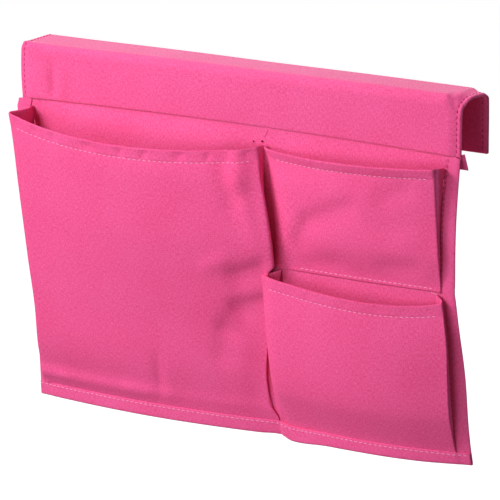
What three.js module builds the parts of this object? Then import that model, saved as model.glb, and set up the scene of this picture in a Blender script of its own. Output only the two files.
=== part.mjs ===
// Bedside caddy: a cloth panel with three pleated pockets, sewn under a stiffened hanger.
// Millimetres. +X runs along the hanger, +Y points back towards the bed, +Z points up.
// The origin is the middle of the face that rests on the bed rail.
import * as THREE from 'three';

// Cloth layers and the room that sewn layers keep between them
const FABRIC = 0.9;
const PANEL_CLOTH = 1;
const CLEARANCE = 0.3;

// Hanger: an inverted U with a stiff sheet between its cover and its lining
const HANGER_LENGTH = 390;
const CHANNEL_DEPTH = 33;
const CHANNEL_RADIUS = 3;
const FRONT_DROP = 41.5;
const BACK_DROP = 45.5;
const STIFFENER = 2;
const STIFFENER_INSET = 3;
const END_HEM = 11;
const SEAM_FLAP = 12;
const SEAM_FLAP_ANGLE = 32;

// Back panel: hangs from a seam under the hanger's front wall, a little wider than the hanger
const PANEL_OVERHANG = 1;
const PANEL_DROP = 243.5;
const PANEL_INSET = 2.2;
const SEAM_GAP = 0.8;
const SIDE_HEM = 12.5;
const BINDING = 10;
const CENTRE_SEAM = 26.5;
const SEAM_SPACING = 3;
// The hang of the panel: its foot swings back, its middle bellies forward and draws in,
// and its foot bows forward under each pocket
const LEAN = 24;
const BELLY = 6.5;
const DRAW_IN = 7;
const DRAW_IN_RISE = 0.75;
const LARGE_BOW = 9;
const RIGHT_BOW = 12;

// Pockets: heights are measured down from the panel's seam
const MOUTH_DROP = 10.5;
const POCKET_HEM = 10;
const UPPER_DROP = 105.5;
const LOWER_MOUTH_DROP = 111.5;
const UPPER_FOOT_HEM = 4;
const FRONT_GAP = 0.8;
const GUSSET_TRIM = 2.2;
const GUSSET_FOOT = 0.86;
const ROW_STEP = 11;
const FOLD_ROUNDING = 3;
// The large pocket's right fold lies over the centre seam, until the lower pocket holds it down
const FOLD_HELD = -1.5;
const FOLD_TUCK = 8;
// The upper pocket's left pleat slants away from the centre seam
const PLEAT_SLANT = 8;

const BLUSH = '#f25a9c';
const SHADE = '#d93f82';
const LINING = '#c22f6d';
const MILKY = '#e8e4da';

// Values that follow from the sizes above
const WALL = FABRIC + CLEARANCE + STIFFENER + CLEARANCE + FABRIC;
const PANEL_TOP = -(FRONT_DROP + SEAM_GAP);
const PANEL_BOTTOM = PANEL_TOP - PANEL_DROP;
const PANEL_Y = -(CHANNEL_DEPTH / 2 + WALL) + PANEL_INSET;
const SEAT = PANEL_CLOTH / 2 + CLEARANCE + FABRIC / 2;
const HALF_PANEL = HANGER_LENGTH / 2 + PANEL_OVERHANG;
const OUTER_SEAM = HALF_PANEL - SIDE_HEM;
const LEFT_OF_CENTRE = CENTRE_SEAM - SEAM_SPACING / 2;
const RIGHT_OF_CENTRE = CENTRE_SEAM + SEAM_SPACING / 2;
const BINDING_TOP = PANEL_BOTTOM + BINDING;
const UPPER_FOOT = PANEL_TOP - UPPER_DROP;

const caddy = new THREE.Group();

function add(name, geometry, color, roughness = 0.9) {
  const mesh = new THREE.Mesh(geometry, new THREE.MeshStandardMaterial({ color, roughness, metalness: 0 }));
  mesh.name = name;
  caddy.add(mesh);
}

// Smooth value along evenly spaced stations, from the first at 0 to the last at 1
function along(stations, t) {
  const curve = new THREE.SplineCurve(stations.map((value, i) => new THREE.Vector2(i, value)));
  return curve.getPoint(t).y;
}

function lerp(a, b, t) {
  return a + (b - a) * t;
}

// Half a wave between two places, nothing outside them
function arch(x, from, to) {
  const s = THREE.MathUtils.clamp((x - from) / (to - from), 0, 1);
  return Math.sin(Math.PI * s);
}

function hang(z) {
  return (PANEL_TOP - z) / PANEL_DROP;
}

// Sideways place on the panel: its edges draw in, most above mid height
function panelX(x, z) {
  const draw = DRAW_IN * Math.sin(Math.PI * THREE.MathUtils.clamp(hang(z), 0, 1) ** DRAW_IN_RISE);
  return x * (1 - draw / HALF_PANEL);
}

// Depth of the hanging panel's middle surface
function panelY(x, z) {
  const t = hang(z);
  const bow = LARGE_BOW * arch(x, -HALF_PANEL, CENTRE_SEAM) + RIGHT_BOW * arch(x, CENTRE_SEAM, HALF_PANEL);
  return PANEL_Y + LEAN * t - BELLY * Math.sin(Math.PI * Math.min(t, 1)) - bow * t * t;
}

// Point a given depth in front of the panel's middle surface
function onPanel(x, depth, z) {
  return new THREE.Vector3(panelX(x, z), panelY(x, z) - depth, z);
}

// Closed sheet of cloth, with rows of points as its middle surface
function sheet(rows, thickness) {
  const across = rows[0].length;
  const down = rows.length;
  const at = (i, j) => rows[THREE.MathUtils.clamp(i, 0, down - 1)][THREE.MathUtils.clamp(j, 0, across - 1)];
  const positions = [];
  for (const side of [0.5, -0.5]) {
    for (let i = 0; i < down; i += 1) {
      for (let j = 0; j < across; j += 1) {
        const u = at(i, j + 1).clone().sub(at(i, j - 1));
        const v = at(i + 1, j).clone().sub(at(i - 1, j));
        const normal = u.cross(v).normalize();
        positions.push(...at(i, j).clone().addScaledVector(normal, side * thickness).toArray());
      }
    }
  }
  const front = (i, j) => i * across + j;
  const back = (i, j) => down * across + i * across + j;
  const faces = [];
  const quad = (a, b, c, d) => faces.push(a, b, c, a, c, d);
  for (let i = 0; i < down - 1; i += 1) {
    for (let j = 0; j < across - 1; j += 1) {
      quad(front(i, j), front(i, j + 1), front(i + 1, j + 1), front(i + 1, j));
      quad(back(i, j), back(i + 1, j), back(i + 1, j + 1), back(i, j + 1));
    }
  }
  for (let j = 0; j < across - 1; j += 1) {
    quad(front(0, j + 1), front(0, j), back(0, j), back(0, j + 1));
    quad(front(down - 1, j), front(down - 1, j + 1), back(down - 1, j + 1), back(down - 1, j));
  }
  for (let i = 0; i < down - 1; i += 1) {
    quad(front(i, 0), front(i + 1, 0), back(i + 1, 0), back(i, 0));
    quad(front(i + 1, across - 1), front(i, across - 1), back(i, across - 1), back(i + 1, across - 1));
  }
  const geometry = new THREE.BufferGeometry();
  geometry.setAttribute('position', new THREE.Float32BufferAttribute(positions, 3));
  geometry.setIndex(faces);
  geometry.computeVertexNormals();
  return geometry;
}

// Rows of points for u across and v down, both from 0 to 1
function grid(across, down, point) {
  return Array.from({ length: down + 1 }, (_, i) =>
    Array.from({ length: across + 1 }, (__, j) => point(j / across, i / down)));
}

// Places across the panel's width, with one at the centre seam, where the panel creases
function acrossPanel(left, right) {
  const steps = (from, to, count) => Array.from({ length: count }, (_, i) => lerp(from, to, i / count));
  return [...steps(-HALF_PANEL, CENTRE_SEAM, left), ...steps(CENTRE_SEAM, HALF_PANEL, right), HALF_PANEL];
}

// U-shaped layer of the hanger between two distances from the channel's faces
function channelLayer(inner, outer, from, to, raise) {
  const half = CHANNEL_DEPTH / 2;
  const outline = new THREE.Shape();
  const outerRadius = CHANNEL_RADIUS + outer;
  const innerRadius = CHANNEL_RADIUS + inner;
  const centre = half - CHANNEL_RADIUS;
  outline.moveTo(-half - outer, -FRONT_DROP + raise);
  outline.lineTo(-half - inner, -FRONT_DROP + raise);
  outline.absarc(-centre, -CHANNEL_RADIUS, innerRadius, Math.PI, Math.PI / 2, true);
  outline.absarc(centre, -CHANNEL_RADIUS, innerRadius, Math.PI / 2, 0, true);
  outline.lineTo(half + inner, -BACK_DROP + raise);
  outline.lineTo(half + outer, -BACK_DROP + raise);
  outline.absarc(centre, -CHANNEL_RADIUS, outerRadius, 0, Math.PI / 2, false);
  outline.absarc(-centre, -CHANNEL_RADIUS, outerRadius, Math.PI / 2, Math.PI, false);
  const geometry = new THREE.ExtrudeGeometry(outline, { depth: to - from, bevelEnabled: false, curveSegments: 6 });
  const turn = new THREE.Matrix4().makeBasis(
    new THREE.Vector3(0, 1, 0), new THREE.Vector3(0, 0, 1), new THREE.Vector3(1, 0, 0));
  geometry.applyMatrix4(turn);
  geometry.translate(from, 0, 0);
  return geometry;
}

function buildHanger() {
  const end = HANGER_LENGTH / 2;
  const stiffStart = FABRIC + CLEARANCE;
  const stiffEnd = stiffStart + STIFFENER;
  const stiffReach = end - END_HEM;
  add('hanger_lining', channelLayer(0, FABRIC, -end, end, 0), LINING);
  add('hanger_stiffener', channelLayer(stiffStart, stiffEnd, -stiffReach, stiffReach, STIFFENER_INSET), MILKY, 0.5);
  add('hanger_cover', channelLayer(stiffEnd + CLEARANCE, WALL, -end, end, 0), BLUSH);
  // Hem allowances turned in between cover and lining, past the stiffener's ends
  const hemStart = stiffReach + CLEARANCE;
  add('hanger_left_end_hem', channelLayer(stiffStart, stiffEnd, -end, -hemStart, STIFFENER_INSET), SHADE);
  add('hanger_right_end_hem', channelLayer(stiffStart, stiffEnd, hemStart, end, STIFFENER_INSET), SHADE);
  // Seam allowance that flares back from the seam, behind the panel
  const angle = THREE.MathUtils.degToRad(SEAM_FLAP_ANGLE);
  const flapY = PANEL_Y + PANEL_CLOTH / 2 + CLEARANCE + FABRIC;
  const flapZ = -FRONT_DROP - CLEARANCE - FABRIC / 2;
  const flap = grid(8, 2, (u, v) => new THREE.Vector3(
    lerp(-end, end, u),
    flapY + SEAM_FLAP * v * Math.sin(angle),
    flapZ - SEAM_FLAP * v * Math.cos(angle)));
  add('hanger_seam_flap', sheet(flap, FABRIC), SHADE);
}

function buildPanel() {
  const places = acrossPanel(15, 11);
  const panel = grid(places.length - 1, 14, (u, v) =>
    onPanel(places[Math.round(u * (places.length - 1))], 0, PANEL_TOP - PANEL_DROP * v));
  add('back_panel', sheet(panel, PANEL_CLOTH), BLUSH);

  // Side hems: cloth turned to the back and stitched down
  const hemTop = PANEL_TOP - SIDE_HEM / 4;
  const hemFoot = BINDING_TOP + FRONT_GAP;
  for (const [name, outer, inner] of [
    ['left_side_hem', -HALF_PANEL, -OUTER_SEAM],
    ['right_side_hem', OUTER_SEAM, HALF_PANEL],
  ]) {
    const strip = grid(2, 14, (u, v) => onPanel(lerp(outer, inner, u), -SEAT, lerp(hemTop, hemFoot, v)));
    add(name, sheet(strip, FABRIC), SHADE);
  }

  // Binding folded round the panel's bottom edge
  const fold = new THREE.Path();
  fold.moveTo(SEAT, BINDING_TOP);
  fold.lineTo(SEAT, PANEL_BOTTOM);
  fold.absarc(0, PANEL_BOTTOM, SEAT, 0, -Math.PI, true);
  fold.lineTo(-SEAT, BINDING_TOP);
  const section = fold.getPoints(3);
  const binding = places.map((x) => section.map((p) => onPanel(x, p.x, p.y)));
  add('bottom_binding', sheet(binding, FABRIC), BLUSH);

  // The upper pocket's foot is turned under and sewn flat to the panel
  const foot = grid(12, 1, (u, v) => onPanel(
    lerp(RIGHT_OF_CENTRE + PLEAT_SLANT, OUTER_SEAM, u), SEAT, UPPER_FOOT + UPPER_FOOT_HEM * (1 - v)));
  add('upper_pocket_foot_hem', sheet(foot, FABRIC), SHADE);
}

// A pocket's folds, at even steps from mouth to foot: how far each side's fold stands in front of
// the panel, how far it leans outwards past its seam, and how far the front bellies between them.
// Its mouth sags between the corners, most at sagAt, and may rise to one corner.
const POCKETS = {
  large: {
    left: -OUTER_SEAM,
    right: LEFT_OF_CENTRE,
    mouth: PANEL_TOP - MOUTH_DROP,
    foot: BINDING_TOP + FRONT_GAP,
    leftDepth: [27.5, 23.5, 19.5, 16, 12.5, 9.5, 0],
    leftReach: [4, 6, 7.5, 7, 9],
    rightDepth: [1.2, 6, 6.5, 4, 2.5, 2, 0],
    rightReach: [-1, 8, 14, 14, 14, 14, 14],
    heldBelow: PANEL_TOP - LOWER_MOUTH_DROP + FOLD_TUCK / 2,
    belly: [12, 9, 6, 3, 0],
    sag: 8.5,
    sagAt: 0.5,
    leftRise: 4.2,
    rightRise: 0,
    slant: 0,
    frontFrom: 0,
    frontTo: 0.86,
    columns: 15,
  },
  upper: {
    left: RIGHT_OF_CENTRE,
    right: OUTER_SEAM,
    mouth: PANEL_TOP - MOUTH_DROP,
    foot: UPPER_FOOT + UPPER_FOOT_HEM + FRONT_GAP,
    leftDepth: [1, 4.5, 5.5, 4.5, 0],
    leftReach: [1, -7, -11.5, -13, -12],
    rightDepth: [12.7, 8.5, 5.5, 5, 0],
    rightReach: [-3, -2, 1.5, 1, 1],
    belly: [4, 4, 3, 2, 0],
    sag: 4,
    sagAt: 0.4,
    leftRise: 0,
    rightRise: 3.5,
    slant: PLEAT_SLANT,
    frontFrom: 0.12,
    frontTo: 1,
    columns: 12,
  },
  lower: {
    left: RIGHT_OF_CENTRE,
    right: OUTER_SEAM,
    mouth: PANEL_TOP - LOWER_MOUTH_DROP,
    foot: BINDING_TOP + FRONT_GAP,
    leftDepth: [9, 10, 10, 8, 0],
    leftReach: [0, 0, 0, 0, 0],
    rightDepth: [5, 9, 10, 9, 0],
    rightReach: [4, 9, 9.5, 8, 3],
    belly: [6, 5, 4, 2, 0],
    sag: 6.5,
    sagAt: 0.65,
    leftRise: 1,
    rightRise: 0,
    slant: 0,
    frontFrom: 0,
    frontTo: 1,
    columns: 14,
  },
};

// Share of a fold that is tucked under what holds it, from none above to all below
function tucked(pocket, z) {
  if (pocket.heldBelow === undefined) return 0;
  return THREE.MathUtils.smoothstep(pocket.heldBelow + FOLD_TUCK - z, 0, FOLD_TUCK);
}

// Fold and seam places of a pocket at one height, as (sideways, depth) pairs
function foldsAt(pocket, t) {
  const z = lerp(pocket.mouth, pocket.foot, t);
  const rightReach = lerp(along(pocket.rightReach, t), FOLD_HELD, tucked(pocket, z));
  const leftSeam = new THREE.Vector2(pocket.left + pocket.slant * t, SEAT);
  const rightSeam = new THREE.Vector2(pocket.right, SEAT);
  const leftFold = new THREE.Vector2(pocket.left - along(pocket.leftReach, t), SEAT + along(pocket.leftDepth, t));
  const rightFold = new THREE.Vector2(pocket.right + rightReach, SEAT + along(pocket.rightDepth, t));
  return { leftSeam, leftFold, rightFold, rightSeam };
}

// Point on a pocket's front, s across between the folds
function frontAt(pocket, s, t) {
  const { leftFold, rightFold } = foldsAt(pocket, t);
  const p = leftFold.clone().lerp(rightFold, s);
  p.y += along(pocket.belly, t) * Math.sin(Math.PI * s);
  return p;
}

// Height of a pocket's cloth: the mouth sags between its corners
function heightAt(pocket, s, t) {
  const sagShare = s ** (Math.log(0.5) / Math.log(pocket.sagAt));
  const sag = pocket.sag * Math.sin(Math.PI * sagShare) ** 0.7;
  const rise = pocket.leftRise * (1 - s) ** 6 + pocket.rightRise * s;
  return lerp(pocket.mouth - sag + rise, pocket.foot, t);
}

function onPocket(p, z) {
  return onPanel(p.x, p.y, z);
}

// Part of a side that bends from the front round the fold and back to the seam
function sidePath(front, fold, seam) {
  const path = new THREE.Path();
  const corner = Math.min(FOLD_ROUNDING, fold.distanceTo(seam) / 2, fold.distanceTo(front) / 2);
  const before = fold.clone().add(front.clone().sub(fold).setLength(corner));
  const after = fold.clone().add(seam.clone().sub(fold).setLength(corner));
  path.moveTo(front.x, front.y);
  path.lineTo(before.x, before.y);
  path.quadraticCurveTo(fold.x, fold.y, after.x, after.y);
  path.lineTo(seam.x, seam.y);
  return path;
}

function rowsOf(pocket) {
  return Math.ceil((pocket.mouth - pocket.foot) / ROW_STEP);
}

// Side gusset that starts where the front's stretch ends
function gussetRows(pocket, side) {
  const isLeft = side === 'left';
  const split = isLeft ? pocket.frontFrom : pocket.frontTo;
  const foldEnd = isLeft ? 0 : 1;
  const columns = split === foldEnd ? 4 : 10;
  const lowest = split === foldEnd ? GUSSET_FOOT : 1;
  const rows = rowsOf(pocket);
  return Array.from({ length: rows + 1 }, (_, i) => {
    const t = lowest * i / rows;
    const folds = foldsAt(pocket, t);
    const fold = isLeft ? folds.leftFold : folds.rightFold;
    const seam = isLeft ? folds.leftSeam : folds.rightSeam;
    const front = frontAt(pocket, split, t);
    let points;
    if (split === foldEnd) {
      const start = fold.clone().add(seam.clone().sub(fold).setLength(GUSSET_TRIM));
      points = Array.from({ length: columns + 1 }, (__, j) => start.clone().lerp(seam, j / columns));
    } else {
      const path = sidePath(front, fold, seam);
      points = path.getSpacedPoints(columns);
      points[0].lerp(points[1], CLEARANCE / points[0].distanceTo(points[1]));
    }
    const row = points.map((p, j) => {
      const s = split === foldEnd ? foldEnd : lerp(split, foldEnd, j / columns);
      return onPocket(p, heightAt(pocket, s, t));
    });
    return isLeft ? row.reverse() : row;
  });
}

function buildPocket(name, pocket) {
  const { frontFrom, frontTo, columns } = pocket;
  const front = grid(columns, rowsOf(pocket), (u, v) => {
    const s = lerp(frontFrom, frontTo, u);
    return onPocket(frontAt(pocket, s, v), heightAt(pocket, s, v));
  });
  add(name + '_pocket_front', sheet(front, FABRIC), BLUSH);

  // Hem turned in behind the mouth
  const hemShare = POCKET_HEM / (pocket.mouth - pocket.foot);
  const layer = FABRIC + CLEARANCE;
  const hem = grid(columns, 2, (u, v) => {
    const s = lerp(lerp(frontFrom, frontTo, 0.06), lerp(frontFrom, frontTo, 0.94), u);
    const t = v * hemShare;
    const p = frontAt(pocket, s, t);
    p.y -= layer;
    return onPocket(p, heightAt(pocket, s, t));
  });
  add(name + '_pocket_hem', sheet(hem, FABRIC), SHADE);

  add(name + '_pocket_left_gusset', sheet(gussetRows(pocket, 'left'), FABRIC), SHADE);
  add(name + '_pocket_right_gusset', sheet(gussetRows(pocket, 'right'), FABRIC), SHADE);
}

buildHanger();
buildPanel();
for (const [name, pocket] of Object.entries(POCKETS)) {
  buildPocket(name, pocket);
}

export default caddy;
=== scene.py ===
# Looks of the bedside caddy: its cloth, seams and stitches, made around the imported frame.
# Lengths are in millimetres until a mesh is made, which is in metres.
import math

import bpy
import numpy as np
from mathutils import Matrix, Vector


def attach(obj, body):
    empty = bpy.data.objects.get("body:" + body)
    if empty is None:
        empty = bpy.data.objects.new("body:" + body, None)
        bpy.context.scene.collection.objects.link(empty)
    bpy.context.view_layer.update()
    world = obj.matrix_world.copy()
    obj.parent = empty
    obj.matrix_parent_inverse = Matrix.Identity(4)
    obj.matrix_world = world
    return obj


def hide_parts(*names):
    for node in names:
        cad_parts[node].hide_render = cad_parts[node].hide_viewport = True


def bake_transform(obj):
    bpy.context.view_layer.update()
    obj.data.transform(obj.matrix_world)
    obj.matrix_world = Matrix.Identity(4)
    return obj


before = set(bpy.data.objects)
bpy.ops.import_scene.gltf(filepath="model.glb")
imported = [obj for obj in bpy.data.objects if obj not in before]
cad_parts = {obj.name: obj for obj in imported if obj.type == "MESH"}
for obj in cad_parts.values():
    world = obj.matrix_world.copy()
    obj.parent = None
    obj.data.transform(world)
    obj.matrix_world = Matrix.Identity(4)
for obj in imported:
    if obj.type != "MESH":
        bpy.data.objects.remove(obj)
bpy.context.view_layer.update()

# A millimetre in metres, the cloth's thickness, and the distance between a hem's two layers
MM = 0.001
CLOTH = 0.6
LAYER = 0.9

# Hanger, as the solids have it. STIFFENER_END is a place along the U, from 0 to 5.
HALF_HANGER = 195.0
HALF_CHANNEL = 16.5
CHANNEL_RADIUS = 3.0
FRONT_DROP = 41.5
BACK_DROP = 45.5
WALL = 4.4
STIFFENER_INSET = 3.0
STIFFENER_END = 4.93
STIFFENER_REACH = 184.0
STIFFENER_INNER = 1.3
STIFFENER_OUTER = 3.1

# Hanger's cloth, where it leaves the plain U
ROLL = 1.5
FOOT_TURN = 0.66
FOOT_RISE = 2.6
FOOT_PUSH = 1.5
END_THIN = 1.4
END_THIN_FROM = 185.0
END_THIN_TO = 193.0
END_GROOVE = 0.3
END_SPAN = 16.0
LEFT_END_PULL = 1.8
RIGHT_END_PULL = 2.3
DENT_AT = -166.5
DENT_DEPTH = 2.8
DENT_LIP_AT = -158.0
DENT_LIP = 0.9
PUCKER = 0.55
PUCKER_AT = 176.0
SWELL = 0.25
CORNER_CLOTH = 8.0
SLACK_BACK = 1.3
SLACK_DROP = 4.0
REAR_SLUMP = 1.6
TOP_LOW_LEFT = 1.7
TOP_LOW_RIGHT = 0.5
TOP_LOOSE = 2.0

# Panel, as the solids have it
HALF_PANEL = 196.0
PANEL_TOP = -42.3
PANEL_DROP = 243.5
PANEL_BOTTOM = PANEL_TOP - PANEL_DROP
PANEL_Y = -18.7
SEAT = 1.25
SIDE_HEM = 12.5
OUTER_SEAM = HALF_PANEL - SIDE_HEM
BINDING_TOP = PANEL_BOTTOM + 10.0
CENTRE_SEAM = 26.5
LEFT_OF_CENTRE = 25.0
RIGHT_OF_CENTRE = 28.0
LEAN = 24.0
BELLY = 6.5
DRAW_IN = 7.0
DRAW_IN_RISE = 0.75
LARGE_BOW = 9.0
RIGHT_BOW = 12.0
UPPER_FOOT = PANEL_TOP - 105.5

# Panel's cloth: where it leaves the solid, and the heights between which it bends
SEAM_FORWARD = 0.2
TOP_HIDDEN = 1.2
TOP_LOW_ENDS = 2.6
FOOT_COVERED = 1.5
PANEL_ROWS = 84
LEFT_HEM_PULL = 3.0
LEFT_HEM_CORNER = 2.8
RIGHT_HEM_TUCK = 1.8
RIGHT_HEM_KINK = 1.3
RIGHT_HEM_SWELL = 2.3
RIGHT_HEM_SWELL_AT = -208.0
RIGHT_HEM_FOOT = 1.6
LARGE_FULLNESS = 4.2
UPPER_FULLNESS = 2.2
PANEL_RIPPLE = 0.4

# Pockets' folds, hems and seams
FOLD_HELD = 1.4
FOLD_GAP = 6.5
FOLD_TUCK = 8.0
RIM = 0.7
HEM_THICK = 0.35
HEM_GROOVE = 0.3
HEM_TURNED = 1.12
DIMPLE_PITCH = 23.0
GUSSET_STEPS = 12
CORNER_STEPS = 7

# Binding and seam flap
BINDING_DEPTH = 1.1
BINDING_STACK = 0.7
BINDING_PLEAT = 0.8
BINDING_BACK = -1.6
BINDING_SAG = 3.3
BINDING_CATCH = 1.2
BINDING_FOOT_SAGS = 0.7
BINDING_HEAD_SAGS = 0.35
BINDING_RISE = 1.2
BINDING_END_RISE = 0.8
FLAP_DROP = 12.0
FLAP_ANGLE = math.radians(32)
FLAP_BACK = 1.7
FLAP_LOW = 0.75
FLAP_LIFT = 3.2
FLAP_WAVE = 0.7

# Stitches: their spacing, length and thickness, and how far their rows lie from the edges
STITCH_PITCH = 4.3
STITCH_LENGTH = 3.1
STITCH_THICK = 0.5
END_STITCH = 3.4
END_STITCH_THICK = 0.9
BINDING_STITCH = 1.7
HEM_STITCHES = {"left": (1.6,), "right": (0.6, 2.0)}
TACK_PITCH = 1.6
TACK_LENGTH = 1.5

# Camera at the photograph's angle, for a square picture: metres, with FOCAL and CENTRE in pixels
AZIMUTH = math.radians(31.7)
ELEVATION = math.radians(14.5)
DISTANCE = 3.9707
TARGET = Vector((0, -0.0209, -0.1456))
PICTURE = 500
FOCAL = 5198.1
CENTRE = (235.0, 259.9)
SENSOR = 36

# Lamps: place and width in metres, power in watts
LAMPS = {
    "key_lamp": ((-0.74, -1.0, 0.74), 0.85, 20),
    "front_lamp": ((-0.1, -1.6, -0.35), 1.2, 11),
    "top_lamp": ((-0.1, 0.6, 1.2), 0.9, 12),
    "back_lamp": ((0.3, 1.7, 0.5), 1.2, 8),
}

# Floor in metres, its grey under light, how bright it is where seen, and the world's light
FLOOR_REACH = 3.0
FLOOR_HEIGHT = -0.62
FLOOR_GREY = 0.32
FLOOR_SHOWN = 0.94
WORLD_LIGHT = 0.14


# Small shaping functions

def step(x, low, high):
    """Smooth rise from 0 at low to 1 at high."""
    t = np.clip((np.asarray(x, float) - low) / (high - low), 0, 1)
    return t * t * (3 - 2 * t)


def bell(x, at, width):
    """Smooth bump, 1 at its middle."""
    return np.exp(-((np.asarray(x, float) - at) / width) ** 2)


def arch(x, low, high):
    """Half a wave, 0 at low and high and 1 between them."""
    return np.sin(np.pi * np.clip((np.asarray(x, float) - low) / (high - low), 0, 1))


def along(stations, t):
    """Smooth value along evenly spaced stations, as the solids read them."""
    p = np.asarray(stations, float)
    t = np.clip(np.asarray(t, float), 0, 1) * (len(p) - 1)
    i = np.minimum(t.astype(int), len(p) - 1)
    w = t - i
    p0 = p[np.maximum(i - 1, 0)]
    p1 = p[i]
    p2 = p[np.minimum(i + 1, len(p) - 1)]
    p3 = p[np.minimum(i + 2, len(p) - 1)]
    v0 = (p2 - p0) / 2
    v1 = (p3 - p1) / 2
    return ((2 * p1 - 2 * p2 + v0 + v1) * w + (-3 * p1 + 3 * p2 - 2 * v0 - v1)) * w * w + v0 * w + p1


def ridge(x, z, start, end, width, height, spread=1.0):
    """Raised fold along a line, or a hollow if height is below 0. spread widens its right hand side."""
    ax, az = start
    dx = end[0] - ax
    dz = end[1] - az
    length = math.hypot(dx, dz)
    t = ((x - ax) * dx + (z - az) * dz) / length ** 2
    off = ((x - ax) * dz - (z - az) * dx) / length
    ends = step(t, -0.25, 0.2) * (1 - step(t, 0.8, 1.25))
    return height * np.exp(-(off / (width * np.where(off > 0, spread, 1.0))) ** 2) * ends


def ripple(x, z, scale, seed):
    """Gentle unevenness of hanging cloth, from -1 to 1."""
    total = 0
    for k in range(5):
        turn = 2.4 * k + seed
        size = scale * (0.6 + 0.35 * k)
        total = total + np.sin((x * math.cos(turn) + z * math.sin(turn)) / size + 5.1 * k + seed)
    return total / 5


def unit(v):
    return v / np.maximum(np.linalg.norm(v, axis=-1, keepdims=True), 1e-12)


def normals(grid):
    """Directions out of the cloth's face, which is the side seen with rows running down."""
    return unit(np.cross(np.gradient(grid, axis=0), np.gradient(grid, axis=1)))


# Meshes

def make_object(name, points, faces, uvs, material):
    mesh = bpy.data.meshes.new(name)
    mesh.from_pydata((points * MM).tolist(), [], faces)
    layer = mesh.uv_layers.new(name="weave")
    corner = np.empty(len(mesh.loops), int)
    mesh.loops.foreach_get("vertex_index", corner)
    layer.uv.foreach_set("vector", (uvs[corner] * MM).astype(np.float32).ravel())
    mesh.polygons.foreach_set("use_smooth", [True] * len(mesh.polygons))
    mesh.materials.append(material)
    mesh.update()
    obj = bpy.data.objects.new(name, mesh)
    bpy.context.scene.collection.objects.link(obj)
    return obj


def cloth(name, grid, material, thickness=CLOTH):
    """Closed sheet of cloth with a rounded rim, around a grid of middle points."""
    rows, columns = grid.shape[:2]
    out = normals(grid) * thickness / 2
    count = rows * columns
    index = np.arange(count).reshape(rows, columns)
    loop = np.concatenate([
        index[:-1, 0], index[-1, :-1], index[:0:-1, -1], index[0, :0:-1]])
    inner = np.concatenate([
        index[:-1, 1], index[-2, :-1], index[:0:-1, -2], index[1, :0:-1]])
    flat = grid.reshape(-1, 3)
    rim = flat[loop] + unit(flat[loop] - flat[inner]) * thickness * 0.45
    points = np.concatenate([flat + out.reshape(-1, 3), flat - out.reshape(-1, 3), rim])
    a = index[:-1, :-1].ravel()
    b = index[1:, :-1].ravel()
    c = index[1:, 1:].ravel()
    d = index[:-1, 1:].ravel()
    front = np.stack([a, b, c, d], 1)
    back = np.stack([d, c, b, a], 1) + count
    edge = np.arange(len(loop)) + 2 * count
    after = np.roll(edge, -1)
    then = np.roll(loop, -1)
    over = np.stack([then, loop, edge, after], 1)
    under = np.stack([after, edge, loop + count, then + count], 1)
    faces = np.concatenate([front, back, over, under]).tolist()
    across = np.cumsum(np.linalg.norm(np.diff(grid, axis=1), axis=2).mean(0))
    down = np.cumsum(np.linalg.norm(np.diff(grid, axis=0), axis=2).mean(1))
    u, v = np.meshgrid(np.r_[0, across], -np.r_[0, down])
    uv = np.stack([u.ravel(), v.ravel()], 1)
    return make_object(name, points, faces, np.concatenate([uv, uv, uv[loop]]), material)


def stitches(name, line, out, material,
             pitch=STITCH_PITCH, length=STITCH_LENGTH, thick=STITCH_THICK):
    """Row of sewn stitches along a line, each a bent thread that dips into the cloth at its ends."""
    reach = np.r_[0, np.cumsum(np.linalg.norm(np.diff(line, axis=0), axis=1))]
    starts = np.arange(0.3, reach[-1] - length, pitch)
    shares = np.linspace(0, 1, 6)
    sides = np.linspace(0, 2 * math.pi, 6, endpoint=False)
    points = []
    faces = []
    uvs = []
    for start in starts:
        at = start + shares * length
        middle = np.stack([np.interp(at, reach, line[:, k]) for k in range(3)], 1)
        up = unit(np.stack([np.interp(at, reach, out[:, k]) for k in range(3)], 1))
        ahead = unit(np.gradient(middle, axis=0))
        side = unit(np.cross(ahead, up))
        swell = np.sin(np.pi * (0.12 + 0.76 * shares))
        middle = middle + up * (thick * (swell - 0.75))[:, None]
        base = len(points)
        for k in range(len(shares)):
            for turn in sides:
                spoke = side[k] * math.cos(turn) + up[k] * math.sin(turn)
                points.append(middle[k] + spoke * thick / 2 * (0.35 + 0.65 * swell[k]))
                uvs.append((at[k], turn * thick / 2))
        for k in range(len(shares) - 1):
            for m in range(len(sides)):
                n = (m + 1) % len(sides)
                low = base + k * len(sides)
                high = low + len(sides)
                faces.append([low + m, low + n, high + n, high + m])
        last = base + (len(shares) - 1) * len(sides)
        faces.append([base + m for m in reversed(range(len(sides)))])
        faces.append([last + m for m in range(len(sides))])
    return make_object(name, np.array(points), faces, np.array(uvs), material)


# Materials

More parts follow.
